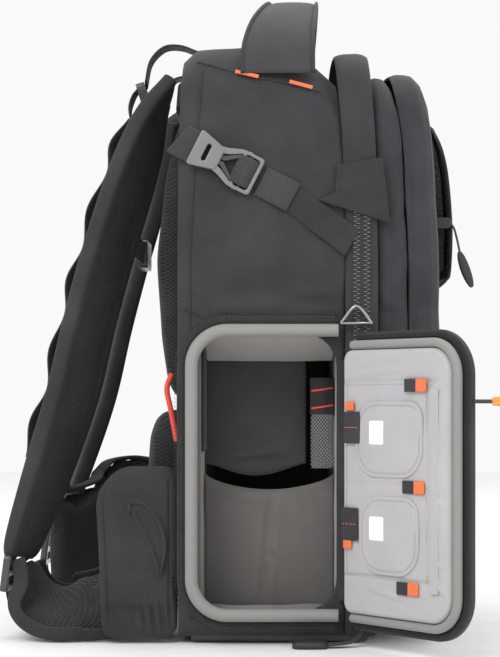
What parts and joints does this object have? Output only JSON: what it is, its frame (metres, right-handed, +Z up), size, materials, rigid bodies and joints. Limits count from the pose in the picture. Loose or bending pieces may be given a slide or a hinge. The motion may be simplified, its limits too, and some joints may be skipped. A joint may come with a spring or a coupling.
{
  "type": "camera backpack",
  "caption": "Padded camera backpack standing upright with its side door open on a divided compartment, with shoulder straps, hip belt, top handle and layered front pockets.",
  "frame": {"origin": "centre of the base panel's underside, on the surface that the pack stands on", "axes": "+X from the wearer's back towards the outer front, -Y towards the side with the open door, +Z up"},
  "size_m": [0.3893, 0.4365, 0.524],
  "materials": {
    "shell_fabric": "charcoal woven nylon",
    "pocket_fabric": "smooth charcoal woven nylon with a purple cast",
    "black_mesh": "black air mesh",
    "webbing": "black ribbed webbing",
    "padding_fabric": "black padded nylon",
    "lining": "light grey brushed lining",
    "inner_lining": "warm grey brushed lining",
    "divider_dark": "charcoal brushed loop fabric",
    "piping": "pale grey binding",
    "zip": "black coil zip on tape",
    "net": "pale elastic net",
    "orange": "orange woven tape",
    "red_trim": "red-orange binding",
    "buckle": "grey moulded plastic",
    "metal": "bent wire"
  },
  "bodies": {
    "root": {"main_shell": "shell_fabric", "back_panel": "black_mesh", "base_panel": "webbing", "zip_gusset": "pocket_fabric", "middle_pocket": "pocket_fabric", "front_pocket": "pocket_fabric", "flap_pocket": "black_mesh", "front_flap": "pocket_fabric", "zip_strip_near": "zip", "zip_strip_far": "zip", "compartment_lining": "inner_lining", "opening_piping": "piping", "opening_zip": "zip", "divider_dark": "divider_dark", "divider_light": "inner_lining", "mesh_pocket": "net", "door_shell": "shell_fabric", "door_lining": "lining", "door_piping": "piping", "door_zip": "zip", "door_hinge": "webbing", "card_pocket_upper": "lining", "card_pocket_lower": "lining", "door_elastic": "lining", "tab_upper_edge": "orange", "tab_upper_hinge": "orange", "tab_middle": "orange", "tab_lower_hinge": "orange", "tab_lower_edge": "orange", "door_zip_pull": "orange", "hinge_pull": "metal", "back_pad": "black_mesh", "lumbar_pad": "black_mesh", "back_trim_near": "red_trim", "back_trim_far": "red_trim", "yoke": "padding_fabric", "shoulder_strap_near": "padding_fabric", "shoulder_strap_far": "padding_fabric", "strap_webbing_near": "webbing", "strap_webbing_far": "webbing", "strap_adjuster_near": "buckle", "strap_adjuster_far": "buckle", "load_lifter_near": "webbing", "load_lifter_far": "webbing", "sternum_strap": "buckle", "hip_panel_near": "padding_fabric", "hip_panel_far": "padding_fabric", "hip_wing_near": "padding_fabric", "hip_wing_far": "padding_fabric", "hip_buckle": "buckle", "top_handle": "padding_fabric", "seam_tab_back": "orange", "seam_tab_front": "orange", "side_buckle": "buckle", "side_strap": "webbing", "side_wing_near": "webbing", "side_wing_far": "webbing", "front_zip_pull": "buckle", "tripod_strap": "webbing"}
  },
  "joints": []
}
